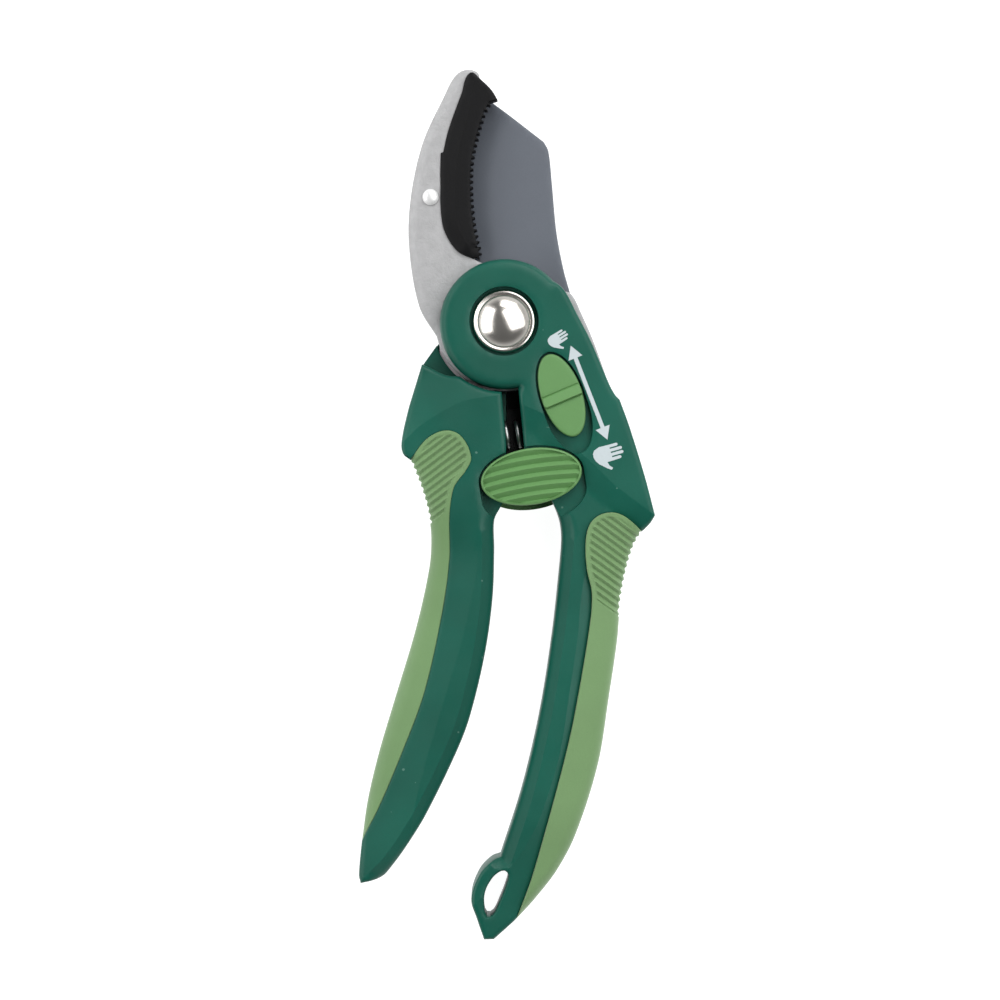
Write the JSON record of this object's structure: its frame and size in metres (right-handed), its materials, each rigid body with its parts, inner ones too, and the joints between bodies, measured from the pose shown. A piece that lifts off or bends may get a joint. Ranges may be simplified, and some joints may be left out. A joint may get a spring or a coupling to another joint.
{
  "type": "pruning shears",
  "caption": "Bypass-style garden pruning shears with a toothed counter jaw, soft grips, an oval lock slider, an opening-width selector and a hanging hole, closed and locked",
  "frame": {"origin": "the point where the pivot axis meets the plane that the shears lie on, at the back of the pivot nut", "axes": "+Z is the pivot axis and points out of the front, the side with the domed bolt head; +Y runs from the pivot towards the jaw's tip; +X is to the right as seen from the front"},
  "size_m": [0.0695, 0.2049, 0.0216],
  "materials": {
    "dark_green_plastic": "satin, coloured through",
    "light_green_rubber": "soft matte",
    "light_green_plastic": "satin",
    "blasted_steel": "fine blasted satin",
    "coated_steel": "low-friction grey coating",
    "chrome": "polished",
    "black_plastic": "satin",
    "spring_steel": "plain bright"
  },
  "bodies": {
    "right_handle": {"counter_jaw": "blasted_steel", "lock_detent_spring": "spring_steel", "pad_rivet": "blasted_steel", "pivot_bolt": "chrome", "pivot_bush": "spring_steel", "pivot_nut": "blasted_steel", "pivot_washer": "spring_steel", "return_spring": "spring_steel", "right_front_cover": "dark_green_plastic", "right_grip": "light_green_rubber", "right_rear_cover": "dark_green_plastic", "right_screw_1": "spring_steel", "right_screw_2": "spring_steel", "right_screw_3": "spring_steel", "selector_detent_spring": "spring_steel", "serrated_pad": "black_plastic", "spring_peg_right": "black_plastic"},
    "left_handle": {"cutting_blade": "coated_steel", "left_front_cover": "dark_green_plastic", "left_rear_cover": "dark_green_plastic", "left_grip": "light_green_rubber", "left_screw_1": "spring_steel", "left_screw_2": "spring_steel", "left_screw_3": "spring_steel", "spring_peg_left": "black_plastic"},
    "lock": {"lock_button_front": "light_green_plastic", "lock_button_rear": "light_green_plastic", "lock_plate": "spring_steel", "lock_screw": "spring_steel"},
    "selector": {"selector_button": "light_green_plastic", "selector_stop": "spring_steel", "selector_screw": "spring_steel"}
  },
  "joints": [
    {"name": "blade_pivot", "type": "hinge", "parent": "right_handle", "child": "left_handle", "pos_m": [0, 0, 0], "axis": [0, 0, -1], "range_deg": [0, 28], "deforming": ["return_spring"]},
    {"name": "lock_slide", "type": "slide", "parent": "right_handle", "child": "lock", "axis": [0.1564, -0.9877, 0], "range_m": [0, 0.004]},
    {"name": "selector_slide", "type": "slide", "parent": "right_handle", "child": "selector", "axis": [0.3256, -0.9455, 0], "range_m": [0, 0.0036]}
  ]
}
